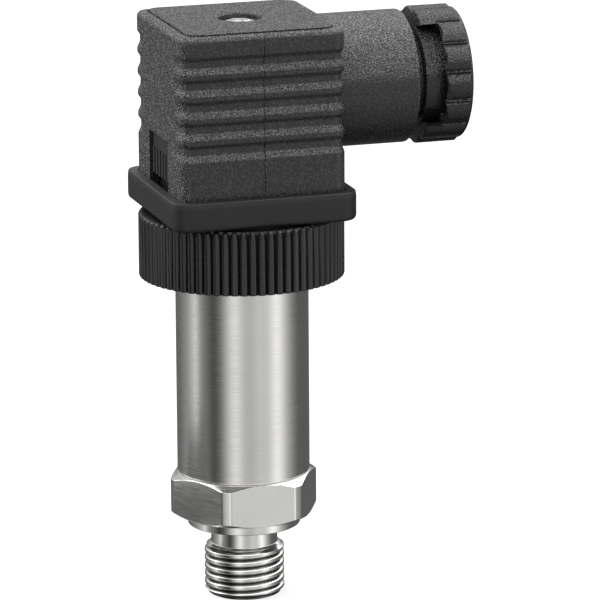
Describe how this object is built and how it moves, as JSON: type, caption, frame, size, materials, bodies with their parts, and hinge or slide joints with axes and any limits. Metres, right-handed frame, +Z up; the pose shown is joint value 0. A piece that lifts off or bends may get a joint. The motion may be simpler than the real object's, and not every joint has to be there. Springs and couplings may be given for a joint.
{
  "type": "pressure transmitter",
  "caption": "Steel pressure transmitter with a male pipe thread, hexagon, tube, knurled union ring and an angled plug with a cable gland.",
  "frame": {"origin": "centre of the sealing face under the collar, where the transmitter seats on the pipework", "axes": "+Z up the sensor's axis towards the plug, +X along the cable gland's axis towards the cable, -Y out of the plug's ribbed front"},
  "size_m": [0.0529, 0.0334, 0.0962],
  "materials": {
    "turned_steel": "turned stainless steel, satin",
    "tube_steel": "fine brushed stainless steel",
    "screw_steel": "bright zinc-plated steel",
    "brass": "machined",
    "tinned_brass": "tin-plated, satin",
    "gilt_pin": "gilt, bright",
    "ceramic": "opaque fired ceramic, matt",
    "board": "glass-fibre board with solder resist",
    "chip": "moulded",
    "inner_plastic": "moulded",
    "base_plastic": "moulded, smooth",
    "ring_plastic": "moulded, fine satin",
    "gasket_rubber": "smooth moulded rubber",
    "seal_rubber": "smooth moulded rubber",
    "housing_plastic": "moulded with a coarse grain",
    "cover_plastic": "moulded with a fine grain",
    "insert_plastic": "moulded, smooth",
    "nut_plastic": "moulded with a coarse grain"
  },
  "bodies": {
    "case": {"process_connection": "turned_steel", "cell_seal": "seal_rubber", "pressure_cell": "ceramic", "clamp_ring": "brass", "cell_pins": "gilt_pin", "board_carrier": "inner_plastic", "circuit_board": "board", "board_chips": "chip", "board_header": "inner_plastic", "housing_tube": "tube_steel", "base_seal": "seal_rubber"},
    "ring": {"knurled_ring": "ring_plastic"},
    "head": {"socket_base": "base_plastic", "contact_pin_1": "tinned_brass", "contact_pin_2": "tinned_brass", "contact_pin_3": "tinned_brass", "earth_pin": "tinned_brass", "threaded_insert": "brass", "contact_board": "board", "board_socket": "inner_plastic"},
    "plug": {"flange_gasket": "gasket_rubber", "plug_housing": "housing_plastic", "top_cover": "cover_plastic", "terminal_block": "insert_plastic", "terminal_1": "brass", "terminal_2": "brass", "terminal_3": "brass", "earth_terminal": "brass", "terminal_screws": "screw_steel", "screw_seal": "seal_rubber", "cable_grommet": "seal_rubber"},
    "screw": {"fixing_screw": "screw_steel"},
    "washer": {"gland_washer": "screw_steel"},
    "nut": {"gland_nut": "nut_plastic"}
  },
  "joints": [
    {"name": "ring_turn", "type": "hinge", "parent": "case", "child": "ring", "pos_m": [0, 0, 0.047], "axis": [0, 0, 1], "range_deg": [-1080, 0]},
    {"name": "head_lift", "type": "slide", "parent": "case", "child": "head", "axis": [0, 0, 1], "range_m": [0, 0.0045]},
    {"name": "plug_lift", "type": "slide", "parent": "head", "child": "plug", "axis": [0, 0, 1], "range_m": [0, 0.004]},
    {"name": "screw_turn", "type": "hinge", "parent": "plug", "child": "screw", "pos_m": [0, 0, 0.08], "axis": [0, 0, 1], "range_deg": [0, 2880]},
    {"name": "gland_slide", "type": "slide", "parent": "plug", "child": "washer", "axis": [1, 0, 0], "range_m": [-0.0015, 0.0045]},
    {"name": "gland_turn", "type": "hinge", "parent": "washer", "child": "nut", "pos_m": [0.0288, 0, 0.07285], "axis": [1, 0, 0], "range_deg": [-360, 1080]}
  ],
  "couplings": [
    {"joint": "ring_turn", "follows": "head_lift", "rad_per_m": -4188.7},
    {"joint": "screw_turn", "follows": "plug_lift", "rad_per_m": 12566},
    {"joint": "gland_turn", "follows": "gland_slide", "rad_per_m": 4188.7}
  ]
}
